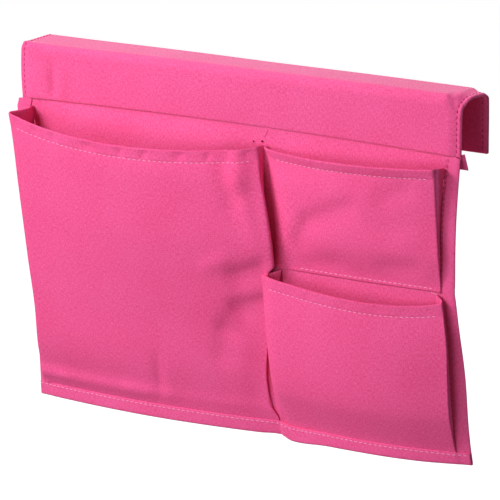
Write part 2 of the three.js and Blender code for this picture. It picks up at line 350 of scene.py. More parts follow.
class Nodes:
    """A material's node tree, with short ways to add nodes and join them."""

    def __init__(self, name):
        self.material = bpy.data.materials.new(name)
        self.material.use_nodes = True
        self.tree = self.material.node_tree
        self.shader = self.tree.nodes["Principled BSDF"]

    def add(self, kind, **settings):
        node = self.tree.nodes.new(kind)
        for key, value in settings.items():
            setattr(node, key, value)
        return node

    def join(self, a, b):
        self.tree.links.new(a, b)

    def math(self, operation, a, b=0.0):
        node = self.add("ShaderNodeMath", operation=operation)
        for socket, value in zip(node.inputs, (a, b)):
            if isinstance(value, (int, float)):
                socket.default_value = value
            else:
                self.join(value, socket)
        return node.outputs[0]

    def place(self):
        """The cloth's own place, in metres across and down."""
        return self.add("ShaderNodeUVMap", uv_map="weave").outputs[0]

    def noise(self, place, scale, detail):
        stretch = self.add("ShaderNodeVectorMath", operation="MULTIPLY")
        stretch.inputs[1].default_value = scale
        self.join(place, stretch.inputs[0])
        node = self.add("ShaderNodeTexNoise")
        node.inputs["Scale"].default_value = 1.0
        node.inputs["Detail"].default_value = detail
        self.join(stretch.outputs[0], node.inputs["Vector"])
        return node.outputs["Fac"]

    def spread(self, value, start, to):
        """A value carried from one range to another."""
        node = self.add("ShaderNodeMapRange")
        for side, low_high in (("From", start), ("To", to)):
            node.inputs[f"{side} Min"].default_value = low_high[0]
            node.inputs[f"{side} Max"].default_value = low_high[1]
        self.join(value, node.inputs["Value"])
        return node.outputs[0]

    def colour(self, share, dark, light):
        mix = self.add("ShaderNodeMix", data_type="RGBA")
        mix.inputs[6].default_value = (*dark, 1)
        mix.inputs[7].default_value = (*light, 1)
        self.join(share, mix.inputs[0])
        self.join(mix.outputs[2], self.shader.inputs["Base Color"])

    def bump(self, height, strength, distance):
        node = self.add("ShaderNodeBump")
        node.inputs["Strength"].default_value = strength
        node.inputs["Distance"].default_value = distance
        self.join(height, node.inputs["Height"])
        self.join(node.outputs[0], self.shader.inputs["Normal"])

    def set(self, values):
        for key, value in values.items():
            self.shader.inputs[key].default_value = value


WEAVE_PITCH = 0.00062


def cloth_material(name, dark, light, sheen):
    """Plain weave: fine threads both ways, uneven yarns, a soft nap and slight changes of tone."""
    n = Nodes(name)
    place = n.place()
    parts = n.add("ShaderNodeSeparateXYZ")
    n.join(place, parts.inputs[0])
    turn = 2 * math.pi / WEAVE_PITCH
    warp = n.math("SINE", n.math("MULTIPLY", parts.outputs[0], turn))
    weft = n.math("SINE", n.math("MULTIPLY", parts.outputs[1], turn))
    weave = n.math("MULTIPLY", warp, weft)
    upright = n.noise(place, (1250, 420, 1), 3)
    level = n.noise(place, (330, 1150, 1), 3)
    cloudy = n.noise(place, (22, 18, 1), 2)
    yarns = n.math("ADD", n.math("MULTIPLY", upright, 0.52), n.math("MULTIPLY", level, 0.34))
    tone = n.math("ADD", yarns, n.math("MULTIPLY", cloudy, 0.13))
    tone = n.math("ADD", tone, n.math("MULTIPLY", weave, 0.05))
    n.colour(n.spread(tone, (0.355, 0.635), (0, 1)), dark, light)
    n.join(n.spread(tone, (0, 1), (0.95, 0.72)), n.shader.inputs["Roughness"])
    n.bump(n.math("ADD", n.math("MULTIPLY", weave, 0.35), yarns), 0.35, 0.0003)
    n.set({"Sheen Weight": sheen, "Sheen Roughness": 0.3, "Sheen Tint": (1.0, 0.72, 0.84, 1)})
    n.set({"Specular IOR Level": 0.04})
    return n.material


def thread_material(name, dark, light):
    """Twisted sewing thread."""
    n = Nodes(name)
    parts = n.add("ShaderNodeSeparateXYZ")
    n.join(n.place(), parts.inputs[0])
    lengthways = n.math("MULTIPLY", parts.outputs[0], 9000)
    around = n.math("MULTIPLY", parts.outputs[1], 5200)
    ply = n.math("SINE", n.math("ADD", lengthways, around))
    n.colour(n.math("ADD", n.math("MULTIPLY", ply, 0.4), 0.5), dark, light)
    n.bump(ply, 0.5, 0.0001)
    n.set({"Roughness": 0.7, "Specular IOR Level": 0.1})
    return n.material


def plastic_material(name, dark, light):
    """Milky sheet plastic with a fine rolled grain."""
    n = Nodes(name)
    place = n.place()
    grain = n.noise(place, (900, 120, 1), 3)
    n.colour(n.noise(place, (30, 30, 1), 2), dark, light)
    n.join(n.spread(grain, (0, 1), (0.4, 0.6)), n.shader.inputs["Roughness"])
    n.bump(grain, 0.2, 0.0001)
    return n.material


PINK = cloth_material("pink_cloth", (0.82, 0.07, 0.225), (0.96, 0.15, 0.4), 1.0)
POCKET_PINK = cloth_material("pocket_pink_cloth", (0.82, 0.066, 0.215), (0.96, 0.142, 0.385), 0.15)
LINING_PINK = cloth_material("lining_pink_cloth", (0.84, 0.068, 0.22), (0.97, 0.145, 0.39), 0.3)
# Pale thread: the cloth's own pink lightened as a painted highlight, for stitches that catch the light
THREAD = thread_material("pink_thread", (0.92, 0.36, 0.6), (1.0, 0.56, 0.76))
# Darker thread: the same pink with painted shade, for stitches sunk into grooves and needle holes
THREAD_PAINTED_SHADE = thread_material("pink_thread_painted_shade", (0.55, 0.025, 0.13), (0.75, 0.05, 0.21))
SHADED_THREAD = thread_material("shaded_pink_thread", (0.2, 0.004, 0.03), (0.3, 0.008, 0.05))
MILKY = plastic_material("milky_plastic", (0.78, 0.76, 0.70), (0.86, 0.84, 0.78))


# Hanger: an inverted U. p runs from the front wall's foot (0) over the top to the back wall's foot (5).

def hanger_point(x, p, offset):
    """Point at a distance out from the channel's face."""
    half = HALF_CHANNEL
    r = CHANNEL_RADIUS
    x, p, offset = np.broadcast_arrays(*[np.asarray(k, float) for k in (x, p, offset)])
    offset = offset + hanger_relief(x, p)
    rise = FOOT_RISE * foot_bow(x)
    push = FOOT_PUSH * foot_bow(x)
    wall = np.clip(p, 0, 1)
    back = np.clip(p - 4, 0, 1)
    front_turn = np.pi - np.pi / 2 * np.clip(p - 1, 0, 1)
    rear_turn = np.pi / 2 - np.pi / 2 * np.clip(p - 3, 0, 1)
    turn = np.where(p < 2, front_turn, rear_turn)
    flat = np.clip(p - 2, 0, 1)
    middle = -(half - r) + 2 * (half - r) * flat
    y = middle + (r + offset) * np.cos(turn)
    z = -r + (r + offset) * np.sin(turn)
    z = np.where(p < 1, -FRONT_DROP + rise + (FRONT_DROP - rise - r) * wall, z)
    y = np.where(p < 1, y + push * (1 - wall) ** 2, y)
    z = np.where(p > 4, -r - (BACK_DROP - r) * back, z)
    dx, dy, dz = hanger_slump(x, p)
    return np.stack([x + dx, y + dy, z + dz], -1)


def foot_bow(x):
    """Share by which the front wall's foot is drawn up and back, most along its middle."""
    return arch(x, -HALF_HANGER, HALF_HANGER) ** 0.8


def hanger_relief(x, p):
    """How far the cloth stands out: a dent near the left end, puckers at the right and slight swells."""
    low = 1 - step(p, 0.4, 1.1)
    dent = -DENT_DEPTH * bell(x, DENT_AT, 2.6 + 2.6 * p) + DENT_LIP * bell(x, DENT_LIP_AT, 5.0)
    dent = dent * (0.15 + 0.85 * step(p, 0, 0.2))
    pucker = PUCKER * np.sin((x - PUCKER_AT) / 1.6 + 3.0 * p) * step(x, 172, 184) * bell(p, 2.0, 0.5)
    swell = SWELL * ripple(x, 22 * p, 26, 1.3)
    return dent * low + pucker + swell * step(p, 0, 0.3) * (1 - step(p, 4.7, 5))


def from_corner(p):
    """Rough distance along the cloth from the middle of the front top corner."""
    on_wall = np.maximum(1 - p, 0) * (FRONT_DROP - CHANNEL_RADIUS)
    on_top = np.maximum(p - 2, 0) * 2 * (HALF_CHANNEL - CHANNEL_RADIUS)
    return on_wall + on_top + CORNER_CLOTH * np.abs(np.clip(p, 1, 2) - 1.5)


def right_pull(x):
    """How far the cloth is pulled out at the right end."""
    return RIGHT_END_PULL * step(x, 178, HALF_HANGER)


def hanger_slump(x, p):
    """How the cloth sinks from the flat form: a soft front corner, a lower left side and loose ends."""
    corner = bell(p, 1.5, 0.45)
    wide = bell(from_corner(p), 0, CORNER_CLOTH)
    rear = bell(p, 3.5, 0.45)
    top = step(p, 1.3, 2.1) * (1 - step(p, 3.0, 3.8))
    loose_right = step(x, 184, 191)
    loose_left = step(-x, 170, 194)
    slack = step(x, 179, 193)
    lower = TOP_LOW_LEFT * (1 - step(x, -HALF_HANGER, -20)) + TOP_LOW_RIGHT * (1 - step(x, -20, 170))
    slump = REAR_SLUMP * rear * loose_right
    dx = right_pull(x) * step(p, 2.0, 3.4)
    dx = dx - LEFT_END_PULL * step(-x, 168, HALF_HANGER) * arch(p, -0.15, 1.4)
    dy = corner * (1.0 - 1.3 * loose_left) + SLACK_BACK * wide * slack - slump
    dz = -corner * (1.0 - 1.5 * loose_left) - SLACK_DROP * wide * slack - slump
    dz = dz - top * (lower + TOP_LOOSE * loose_right)
    return dx, dy, dz


def roll(distance):
    """How far a turned edge has rolled in, at a distance from it."""
    left = ROLL - np.minimum(distance, ROLL)
    return ROLL - np.sqrt(np.maximum(ROLL ** 2 - left ** 2, 0))


def hanger_columns():
    """Places along the hanger, closer together where its ends roll in and are sewn."""
    turned = ROLL * (1 - np.cos(np.linspace(0, math.pi / 2, 5)))
    near = np.r_[turned, np.linspace(ROLL, END_SPAN, 22)[1:-1]]
    middle = np.linspace(END_SPAN - HALF_HANGER, HALF_HANGER - END_SPAN, 140)
    return np.r_[near - HALF_HANGER, middle, HALF_HANGER - near[::-1]]


def end_groove(x):
    """Where the stitches near an end pull the cloth in."""
    return END_GROOVE * bell(HALF_HANGER - np.abs(x), END_STITCH, 0.8)


def end_thin(x, p, inward):
    """Flattening past the stiffener's ends: of the cover's front wall, or of the lining's top."""
    if inward < 0:
        flat = 1 - step(p, 0.9, 1.8)
    else:
        flat = step(p, 1.0, 1.8) * (1 - step(p, 3.2, 4.0))
    return END_THIN * step(np.abs(x), END_THIN_FROM, END_THIN_TO) * flat


def hanger_rows():
    """Places along the U, with the distance of each from the nearer foot."""
    wall = FRONT_DROP - CHANNEL_RADIUS
    rear = BACK_DROP - CHANNEL_RADIUS
    turned = ROLL * (1 - np.cos(np.linspace(0, math.pi / 2, 5)))
    p = np.r_[
        turned / wall, np.linspace(ROLL / wall, 1, 18)[1:], np.linspace(1, 2, 9)[1:],
        np.linspace(2, 3, 13)[1:], np.linspace(3, 4, 9)[1:],
        np.linspace(4, 5 - ROLL / rear, 18)[1:], 5 - turned[-2::-1] / rear]
    return p, np.minimum(p * wall, (5 - p) * rear)


def hanger_layer(offset, inward):
    """Grid of one cloth layer of the hanger, rolled towards the other layer at its edges."""
    x = hanger_columns()
    p, foot = hanger_rows()
    turned = np.hypot(roll(HALF_HANGER - np.abs(x))[None], FOOT_TURN * roll(foot)[:, None])
    turned = np.minimum(turned, ROLL) + end_groove(x)[None]
    thin = end_thin(x[None], p[:, None], inward)
    return hanger_point(x[None], p[:, None], offset + inward * (turned + thin))


def build_stiffener():
    x = np.linspace(-STIFFENER_REACH, STIFFENER_REACH, 90)
    wall = FRONT_DROP - CHANNEL_RADIUS
    p = np.r_[
        np.linspace(STIFFENER_INSET / wall, 1, 8), np.linspace(1, 2, 7)[1:], np.linspace(2, 3, 6)[1:],
        np.linspace(3, 4, 7)[1:], np.linspace(4, STIFFENER_END, 8)[1:]]
    grid = hanger_point(x[None], p[:, None], (STIFFENER_INNER + STIFFENER_OUTER) / 2)
    thickness = STIFFENER_OUTER - STIFFENER_INNER
    sheet = cloth("hanger_stiffener_sheet", grid[::-1], MILKY, thickness)
    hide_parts("hanger_stiffener")
    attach(sheet, "hanger")
    return sheet


def build_hanger():
    cover = cloth("hanger_cover_cloth", hanger_layer(WALL - CLOTH / 2, -1)[::-1], PINK)
    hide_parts("hanger_cover", "hanger_left_end_hem", "hanger_right_end_hem")
    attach(cover, "hanger")
    lining = cloth("hanger_lining_cloth", hanger_layer(CLOTH / 2, 1), LINING_PINK)
    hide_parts("hanger_lining")
    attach(lining, "hanger")
    sheet = build_stiffener()

    # Stitch rows near both ends, outside and inside, in thread darkened with painted shade
    run = np.linspace(0.06, 4.96, 140)
    for side, place in (("left", -HALF_HANGER + END_STITCH), ("right", HALF_HANGER - END_STITCH)):
        for face, offset, sign in (("outer", WALL, 1), ("inner", 0, -1)):
            thin = end_thin(place, run, -sign)
            line = hanger_point(place, run, offset - sign * (end_groove(place) + thin))
            out = sign * (hanger_point(place, run, offset + 1) - line)
            row = stitches(f"hanger_{side}_{face}_stitches", line, out, THREAD_PAINTED_SHADE,
                           thick=END_STITCH_THICK)
            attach(row, "hanger")


# Panel

def hang(z):
    """Share of the panel's drop above a height."""
    return (PANEL_TOP - z) / PANEL_DROP


def panel_x(x, z):
    draw = DRAW_IN * np.sin(np.pi * np.clip(hang(z), 0, 1) ** DRAW_IN_RISE)
    return x * (1 - draw / HALF_PANEL)


def panel_y(x, z):
    t = hang(z)
    bow = LARGE_BOW * arch(x, -HALF_PANEL, CENTRE_SEAM) + RIGHT_BOW * arch(x, CENTRE_SEAM, HALF_PANEL)
    forward = SEAM_FORWARD * (1 - step(np.abs(x), 160, 186))
    seam = (0.8 * FOOT_PUSH * foot_bow(x) - forward) * (1 - step(PANEL_TOP - z, 0, 9))
    belly = BELLY * np.sin(np.pi * np.minimum(t, 1))
    return PANEL_Y + LEAN * t - belly - bow * np.maximum(t, 0) ** 2 + seam


def on_panel(x, depth, z):
    x, depth, z = np.broadcast_arrays(*[np.asarray(k, float) for k in (x, depth, z)])
    return np.stack([panel_x(x, z) + edge_shift(x, depth, z), panel_y(x, z) - depth, z], -1)


def edge_shift(x, depth, z):
    """Sideways shift: the left hem pulled out below the hanger, the right one kinked and swelling."""
    below = np.maximum(PANEL_TOP - z, 0)
    pull = LEFT_HEM_PULL + LEFT_HEM_CORNER * step(below, 0, 8)
    left = -pull * (1 - step(below, 13, 60)) * step(-x, 172, 191)
    right = -RIGHT_HEM_TUCK * step(x, 184, HALF_PANEL) * np.exp(-below / 14.0)
    kink = -RIGHT_HEM_KINK * step(x, 176, HALF_PANEL) * np.exp(-np.abs(z - UPPER_FOOT) / 10.0)
    swell = RIGHT_HEM_SWELL * step(x, 182, HALF_PANEL) * bell(z, RIGHT_HEM_SWELL_AT, 36)
    foot = -RIGHT_HEM_FOOT * step(x, 150, HALF_PANEL) * step(below, 170, 240)
    return left * (1 - step(depth, 2, 12)) + right + kink + swell + foot


def panel_top(x):
    """The panel's top edge: sewn inside the hanger's foot, and lower past the hanger's ends."""
    lower = TOP_LOW_ENDS * step(np.abs(x), 190, 194.5)
    return -FRONT_DROP + FOOT_RISE * foot_bow(x) + TOP_HIDDEN - lower


def build_panel():
    x = np.linspace(-HALF_PANEL, HALF_PANEL, 141)
    hem = np.linspace(OUTER_SEAM, HALF_PANEL - 0.6, 7)
    curl = np.linspace(-np.pi / 2, np.pi / 2, 7)[1:-1]
    half = LAYER / 2
    places = np.r_[
        -hem, -HALF_PANEL - half * np.cos(curl), x[1:-1], HALF_PANEL + half * np.cos(curl), hem[::-1]]
    depths = np.r_[
        np.full(len(hem), -LAYER), half * np.sin(curl) - half, np.zeros(len(x) - 2),
        -half - half * np.sin(curl), np.full(len(hem), -LAYER)]
    near = PANEL_TOP - 12
    top = near + (panel_top(places)[None] - near) * np.linspace(1, 0, 14)[:-1, None]
    rest = np.linspace(near, PANEL_BOTTOM + FOOT_COVERED, PANEL_ROWS)[:, None]
    z = np.concatenate([top, np.broadcast_to(rest, (PANEL_ROWS, len(places)))])
    below = np.maximum(PANEL_TOP - z, 0)
    full = LARGE_FULLNESS * (1 - step(places, -25, 12)) + UPPER_FULLNESS * step(places, 30, 75)
    uneven = PANEL_RIPPLE * ripple(places[None], z, 15, 0.7) * step(below, 4, 20)
    relief = full[None] * (1 - np.exp(-below / 12)) + uneven
    relief = relief * (1 - step(below, 40, 90)) * step(OUTER_SEAM - np.abs(places[None]), 0, 25)
    grid = on_panel(places[None], depths[None] + relief, z)
    panel = cloth("back_panel_cloth", grid, PINK)
    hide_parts("back_panel", "left_side_hem", "right_side_hem")
    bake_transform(panel)


# Pockets: a sheet each, from its left seam round the folds to its right seam.
# Lists run from mouth to foot at even steps, and the folds are close to the solids' own.
# depth is how far a fold stands out, reach how far it passes its seam, and slant a seam's own shift.
# round is a fold's rounding, belly the front's swelling, pleat a gusset's crease or, below 0, its bow.
# A tuck shifts a seam's top sideways and up. sag and sag_at shape the mouth, and rises lift its ends.
# The right fold is held behind the neighbour below held_below. lean and dimples shape the hem's band.
# plane has the y of the cloth that stays with the panel, at mouth and foot, and how far ahead of it
# the cloth starts to swing with the pocket and swings fully.
POCKETS = {
    "large": dict(
        left=-OUTER_SEAM, right=LEFT_OF_CENTRE, mouth=PANEL_TOP - 10.5, foot=BINDING_TOP + 0.8,
        left_depth=[27.5, 23.5, 19.5, 16, 12.5, 9.5, 0],
        right_depth=[4.2, 10, 11.5, 11.8, 11, 8.5, 6, 4.5, 3, 2.6, 2.2, 1.2, 0],
        left_reach=[6.8, 8.8, 7.7, 5.4, 8.6],
        right_reach=[-2.5, 2.5, 7.5, 11.5, 14, 14, 14, 14, 14, 14, 14, 14, 14],
        left_slant=[0, 0], right_slant=[0, 0, 0, 0, -1, -5, -6.5, -6, -2],
        left_round=[3, 4, 4],
        right_round=[1, 1.5, 2.5, 4.5, 7, 6.5, 4, 2, 1.4, 1.4, 1.4, 1.4, 1.4],
        left_pleat=1.5, right_pleat=0, left_tuck=(0, 0), right_tuck=(0, 0),
        belly=[12, 9, 6, 3, 0], sag=8.5, sag_at=0.54, left_rise=5.8, right_rise=0,
        held_below=PANEL_TOP - 109, hem=9.0, lean=1.3, dimples=1.5, columns=120,
        plane=(-18.7, -4.0, 4.5, 14)),
    "upper": dict(
        left=RIGHT_OF_CENTRE, right=OUTER_SEAM, mouth=PANEL_TOP - 10.5, foot=UPPER_FOOT + 4.8,
        left_depth=[1, 5, 6, 5, 0], right_depth=[12.7, 8.5, 5.5, 5, 0],
        left_reach=[1, -9.5, -14.5, -18, -20.5, -21.5, -22, -21.5, -19.5],
        right_reach=[-1.5, -0.7, 0.5, 2.2, 1.2],
        left_slant=[0, 2, 3.5, 4.5, 6, 6.5, 7, 7, 7], right_slant=[0, 0],
        left_round=[0.5, 8, 9, 7], right_round=[1.2, 1.2, 1.2],
        left_pleat=0, right_pleat=-1.8, left_tuck=(0, 0), right_tuck=(0, -1.7),
        belly=[4, 4, 3, 2, 0], sag=4, sag_at=0.4, left_rise=0, right_rise=3.5,
        held_below=None, hem=7.0, lean=3.4, dimples=0.3, columns=80,
        plane=(-18.6, -17.3, 2, 8)),
    "lower": dict(
        left=RIGHT_OF_CENTRE, right=OUTER_SEAM, mouth=PANEL_TOP - 111.5, foot=BINDING_TOP + 0.8,
        left_depth=[9, 10.5, 11, 9, 0], right_depth=[5, 9, 10, 9, 0],
        left_reach=[1, 0, -0.5, -1, -2], right_reach=[5, 7, 5.4, 4.2, 1.4],
        left_slant=[0, 0], right_slant=[0, 0],
        left_round=[6, 7.5, 6], right_round=[1, 1, 1],
        left_pleat=0, right_pleat=-1.5, left_tuck=(12, 4.2), right_tuck=(-2, 4.3),
        belly=[6, 5, 4, 2, 0], sag=6.5, sag_at=0.65, left_rise=1, right_rise=0,
        held_below=None, hem=8.5, lean=0.9, dimples=0.5, columns=84,
        plane=(-16.6, -7.6, 2, 8)),
}

# Rows of cloth below each pocket's foot, as (depth, distance below the foot):
# a hem turned back under itself, or an edge that goes on under the binding
TURNED_BACK = (
    (0.95, 1.2), (0.95, 2.4), (0.95, 3.5), (0.95, 4.4), (0.85, 4.75), (0.75, 4.4), (0.75, 2.0))
UNDER_BINDING = ((0.9, 1.5), (0.9, 3.5), (0.9, 6.0))
SEWN_FOOT = {"large": UNDER_BINDING, "upper": TURNED_BACK, "lower": UNDER_BINDING}


def folds(pocket, t):
    """(sideways, depth) of the left seam, left fold, right fold and right seam, a share t down."""
    def seam(side):
        tuck = pocket[f"{side}_tuck"][0] * (1 - t) ** 3
        return np.array([pocket[side] + along(pocket[f"{side}_slant"], t) + tuck, SEAT])

    def fold(side, outwards):
        reach = outwards * along(pocket[f"{side}_reach"], t)
        return np.array([pocket[side] + reach, SEAT + along(pocket[f"{side}_depth"], t)])

    return seam("left"), fold("left", -1), fold("right", 1), seam("right")


def held_back(pocket, t):
    """How far the right fold is held back, where the pocket passes behind its neighbour."""
    if pocket["held_below"] is None:
        return 0.0
    z = pocket["mouth"] + (pocket["foot"] - pocket["mouth"]) * t
    below = pocket["held_below"] - z
    held = 0.55 * step(below, -FOLD_TUCK, 0) + 0.45 * step(below, 0, 3 * FOLD_TUCK)
    to = FOLD_HELD - FOLD_GAP * step(t, 0.62, 0.86) * (1 - step(t, 0.93, 1))
    return float(held * (to - along(pocket["right_reach"], t)))


def bent(start, corner, end, count):
    """Points of a curve from start to end, pulled towards a corner."""
    w = np.linspace(0, 1, count)[:, None]
    return start * (1 - w) ** 2 + corner * 2 * w * (1 - w) + end * w ** 2


def sharpened(fold, one, other, round_by):
    """Corner whose rounding passes through the fold."""
    return fold - 0.25 * round_by * (unit(one - fold) + unit(other - fold))


def gusset(seam, fold, round_by, pleat, side):
    """Points from the seam to where the fold rounds, creased inwards or bowed out near the fold."""
    length = np.linalg.norm(fold - seam)
    ahead = (fold - seam) / max(length, 1e-6)
    inside = np.array([ahead[1], -ahead[0]]) * side
    w = np.linspace(0, 1, GUSSET_STEPS)[:, None]
    crease = np.sin(np.pi * w ** (1 if pleat > 0 else 2)) * step(length, 2, 11)
    return seam + (fold - ahead * round_by - seam) * w + inside * pleat * crease


def section(pocket, t):
    """(sideways, depth) of a row's points, their share of the front and their nearness to each seam."""
    left_seam, left_fold, free_fold, right_seam = folds(pocket, t)
    back = np.array([held_back(pocket, t), 0])
    right_fold = free_fold + back
    width = np.linalg.norm(free_fold - left_fold)

    def rounding(side, fold, seam):
        return min(float(along(pocket[f"{side}_round"], t)), np.linalg.norm(fold - seam) * 0.75)

    left_by = rounding("left", left_fold, left_seam)
    right_by = rounding("right", right_fold, right_seam)
    belly = float(along(pocket["belly"], t))
    left_fold = sharpened(left_fold, left_seam, free_fold, left_by)
    right_fold = sharpened(right_fold, right_seam, left_fold, right_by)
    free_fold = right_fold - back

    def front(s):
        s = np.asarray(s, float)[..., None]
        flat = left_fold + (free_fold - left_fold) * s + back * step(s, 0.8, 1)
        return flat + np.array([0, belly]) * np.sin(np.pi * s)

    s = np.linspace(left_by / width, 1 - right_by / width, pocket["columns"])
    left_side = gusset(left_seam, left_fold, left_by, pocket["left_pleat"], 1)
    right_side = gusset(right_seam, right_fold, right_by, pocket["right_pleat"], -1)
    points = np.concatenate([
        left_side, bent(left_side[-1], left_fold, front(s[0]), CORNER_STEPS)[1:-1], front(s),
        bent(front(s[-1]), right_fold, right_side[-1], CORNER_STEPS)[1:-1], right_side[::-1]])
    turn = np.linspace(0, 1, CORNER_STEPS)[1:-1]
    share = np.r_[
        np.zeros(GUSSET_STEPS), turn * s[0], s, s[-1] + turn * (1 - s[-1]), np.ones(GUSSET_STEPS)]
    left_near = np.zeros(len(points))
    left_near[:GUSSET_STEPS] = np.linspace(1, 0, GUSSET_STEPS)
    right_near = np.zeros(len(points))
    right_near[-GUSSET_STEPS:] = np.linspace(0, 1, GUSSET_STEPS)
    return points, share, left_near, right_near


def height(pocket, share, t):
    """Height of a row's points: the mouth sags and its ends rise, and the foot is level."""
    sagging = np.clip(share, 0, 1) ** (math.log(0.5) / math.log(pocket["sag_at"]))
    sag = pocket["sag"] * np.maximum(np.sin(np.pi * sagging), 0) ** 0.7
    rise = pocket["left_rise"] * (1 - share) ** 6 + pocket["right_rise"] * share
    top = pocket["mouth"] - sag + rise - RIM
    return top + (pocket["foot"] - top) * t


def hem_relief(pocket, below, x, seed):
    """The doubled band at a mouth: thicker, leaning out at its rim, dimpled above its stitches."""
    hem = pocket["hem"]
    band = 1 - step(below, hem - 1.5, hem + 1)
    beat = x / DIMPLE_PITCH + 0.3 * np.sin(x / 31 + seed) + 0.2 * np.sin(x / 13)
    across = np.sin(np.pi * np.clip(below / hem, 0, 1))
    dimple = -pocket["dimples"] * bell(np.sin(np.pi * beat), 0, 0.42) * across
    groove = -HEM_GROOVE * bell(below, hem, 0.9)
    return band * (HEM_THICK + pocket["lean"] * (1 - below / hem)) + dimple * band + groove


def pocket_rows(pocket):
    """Shares from mouth to foot, closer together in the hem and near the foot."""
    drop = pocket["mouth"] - pocket["foot"]
    top = np.linspace(0, (pocket["hem"] + 3) / drop, 13)
    low = np.linspace(0.92, 1, 9)
    return np.r_[top, np.linspace(top[-1], low[0], int(drop * 0.36))[1:], low[1:]]


def pocket_front(name, shares, seed):
    """Grid of the cloth from mouth to foot, with the places and heights of its last row."""
    pocket = POCKETS[name]
    drop = pocket["mouth"] - pocket["foot"]
    facing = np.r_[
        np.zeros(GUSSET_STEPS), np.linspace(0, 1, CORNER_STEPS)[1:-1], np.ones(pocket["columns"]),
        np.linspace(1, 0, CORNER_STEPS)[1:-1], np.zeros(GUSSET_STEPS)]
    rows = []
    for t in shares:
        points, share, left_near, right_near = section(pocket, t)
        lift = pocket["left_tuck"][1] * left_near + pocket["right_tuck"][1] * right_near
        z = height(pocket, share, t) + lift * (1 - t) ** 8
        relief = hem_relief(pocket, t * drop, points[:, 0], seed) * arch(share, -0.02, 1.02) ** 0.3
        relief = relief + front_relief(name, points[:, 0], z, t)
        rows.append(on_panel(points[:, 0], points[:, 1] + relief * facing, z))
    return np.array(rows), points[:, 0], z


def turned_hem(front, out, turned):
    """Rows of the hem turned in behind the mouth, from its lower edge up to the rim."""
    inside = (front - LAYER * out)[turned][::-1][:-1]
    up = unit(front[0] - front[1])
    around = [front[0] - out[0] * LAYER / 2 * (1 + math.cos(a)) + up * LAYER / 2 * math.sin(a)
              for a in np.linspace(0, math.pi, 6)[:-1]]
    return np.concatenate([inside, np.array(around)])


def build_pocket(name, seed):
    pocket = POCKETS[name]
    shares = pocket_rows(pocket)
    drop = pocket["mouth"] - pocket["foot"]
    hem = pocket["hem"]
    front, x, z = pocket_front(name, shares, seed)
    out = normals(front)
    turned = turned_hem(front, out, shares <= hem * HEM_TURNED / drop)
    sewn = np.array([on_panel(x, depth, z - below) for depth, below in SEWN_FOOT[name]])
    grid = np.concatenate([turned, front, sewn])
    piece = cloth(f"{name}_pocket_cloth", grid, POCKET_PINK)
    nodes = [f"{name}_pocket_{k}" for k in ("front", "hem", "left_gusset", "right_gusset")]
    if name == "upper":
        nodes.append("upper_pocket_foot_hem")
    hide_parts(*nodes)
    bend_pocket(piece)

    # Stitches along the hem, and along the foot of the upper pocket, in the pale thread with its painted
    # highlight
    row = int(np.argmin(np.abs(shares * drop - hem)))
    keep = slice(GUSSET_STEPS + CORNER_STEPS, -GUSSET_STEPS - CORNER_STEPS)
    line = front[row][keep] + out[row][keep] * CLOTH / 2
    sewing = stitches(f"{name}_pocket_hem_stitches", line, out[row][keep], THREAD)
    bend_pocket(sewing)
    if name == "upper":
        face = normals(sewn[:4])[1][keep]
        line = sewn[1][keep] + face * CLOTH / 2
        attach(stitches("upper_pocket_foot_stitches", line, face, THREAD), "panel")


def bend_pocket(piece):
    """Bakes the piece's place into its mesh."""
    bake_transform(piece)


# Folds seen on each front: where each starts and ends (sideways, height), its half width,
# how far it stands out and, for some, how much wider its right hand side is
FOLDS = {
    "large": [
        ((9, -46), (12, -84), 9.0, 4.0),
        ((13, -80), (27, -130), 6.0, 1.0),
        ((-4, -68), (8, -104), 7.0, -1.6),
        ((-1, -157), (31, -144), 5.5, -3.6, 2.6),
        ((-22, -152), (2, -141), 6.0, 1.4),
        ((-1, -182), (29, -174), 5.5, -3.2, 3.0),
        ((-13, -204), (3, -181), 7.0, -2.2, 2.2),
        ((-16, -230), (-11, -200), 7.5, -1.6, 2.0),
        ((-73, -232), (-76, -270), 5.0, -1.3),
    ],
    "upper": [
        ((70, -104), (111, -87), 7.0, -2.2, 1.8),
        ((56, -127), (71, -102), 7.0, -2.2, 1.6),
        ((134, -133), (169, -129), 7.0, -1.2),
        ((66, -138), (102, -134), 6.0, -0.7),
        ((164, -67), (134, -81), 9.0, -1.4),
        ((153, -109), (174, -104), 8.0, 0.6),
    ],
    "lower": [
        ((27, -150), (27, -272), 6.5, -3.2),
    ],
}
# Gathers above each foot: how far they stand out, steadily and unevenly
GATHERS = {"large": (2.8, 1.2), "upper": (0.3, 0.4), "lower": (0.8, 0.6)}
# Ripples of each front: height, length and seed
RIPPLES = {"large": (0.6, 30, 0.4), "upper": (0.5, 26, 2.2), "lower": (0.5, 26, 4.0)}


def front_relief(name, x, z, t):
    """How far a front stands out: slow ripples, its folds, and gathers, fullest at the far left."""
    size, scale, seed = RIPPLES[name]
    total = size * ripple(x, z, scale, seed) * arch(t, 0.03, 1)
    for fold in FOLDS[name]:
        total = total + ridge(x, z, *fold)
    above = z - POCKETS[name]["foot"]
    steady, uneven = GATHERS[name]
    share = 1 - 0.65 * step(x, -95, -35)
    return total + bell(above, 9, 6) * share * (steady + uneven * ripple(x, 0.3 * z, 5.0, seed))


# Binding folded round the panel's foot, its raw edges turned under

def binding_depth(x):
    """Depth of the layers that the binding covers: less past the pockets, more right of the centre."""
    stack = step(x, -187, -182) * (1 - step(x, 184, 189))
    pleat = step(x, 27.5, 30) * (1 - step(x, 45, 90))
    return BINDING_DEPTH + BINDING_STACK * stack + BINDING_PLEAT * pleat


def binding_drop(x):
    """How far the binding hangs lower right of the centre, where the lower pocket's pleat is caught."""
    sag = BINDING_SAG * step(x, 26, 38) * (1 - step(x, 40, 75))
    return sag - BINDING_CATCH * bell(x, 22, 9)


